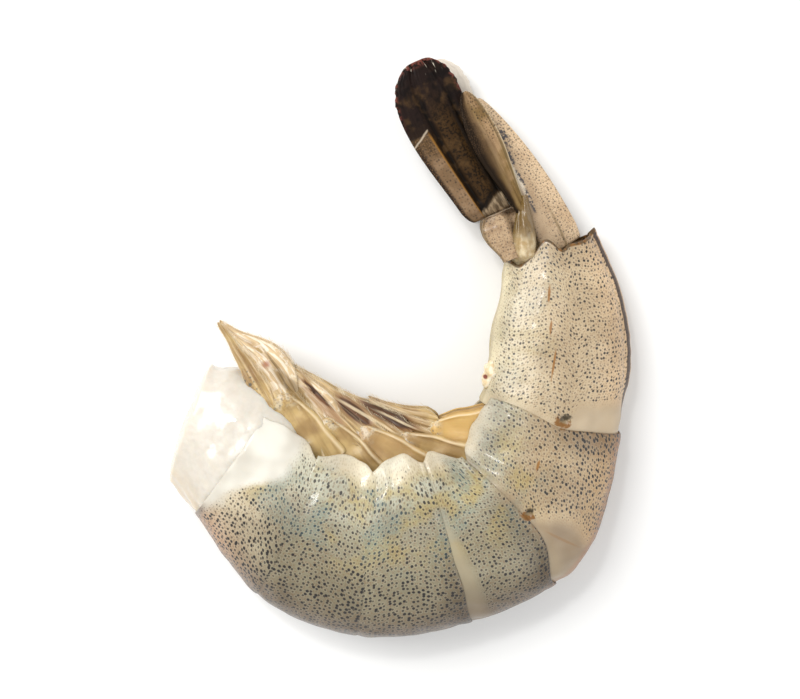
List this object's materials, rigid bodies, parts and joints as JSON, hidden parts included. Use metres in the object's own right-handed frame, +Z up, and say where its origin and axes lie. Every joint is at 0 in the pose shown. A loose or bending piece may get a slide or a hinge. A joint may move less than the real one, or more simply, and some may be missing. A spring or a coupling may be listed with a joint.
{
  "type": "raw tiger prawn",
  "caption": "Raw headless shell-on tiger prawn, curled and lying on its side, with grey dotted shell rings, folded swimmerets and a dark tail fan.",
  "frame": {"origin": "on the floor under the middle of the whole prawn as it lies on its left side", "axes": "+Z up through the prawn's right side, +Y towards the tail fan, +X towards the back of the last ring"},
  "size_m": [0.0672, 0.0846, 0.0174],
  "materials": {
    "flesh": "wet, glossy, slightly translucent white",
    "shell": "thin wet shell, tan to blue-grey with fine black dots",
    "tail": "wet tan shell with dots",
    "tail_dark": "tan outer strip, black-brown ribbed blade",
    "swimmeret": "thin yellow-tan paddles with a pale fringe"
  },
  "bodies": {
    "root": {"flesh": "flesh", "shell_ring_1": "shell", "shell_ring_2": "shell", "shell_ring_3": "shell", "shell_ring_4": "shell", "shell_ring_5": "shell", "shell_ring_6": "shell", "telson": "tail", "right_tail_stem": "tail", "right_inner_blade": "tail", "right_outer_blade": "tail_dark", "left_tail_stem": "tail", "left_inner_blade": "tail", "left_outer_blade": "tail_dark", "right_swimmeret_1": "swimmeret", "right_swimmeret_2": "swimmeret", "right_swimmeret_3": "swimmeret", "right_swimmeret_4": "swimmeret", "right_swimmeret_5": "swimmeret", "left_swimmeret_1": "swimmeret", "left_swimmeret_2": "swimmeret", "left_swimmeret_3": "swimmeret", "left_swimmeret_4": "swimmeret", "left_swimmeret_5": "swimmeret"}
  },
  "joints": []
}
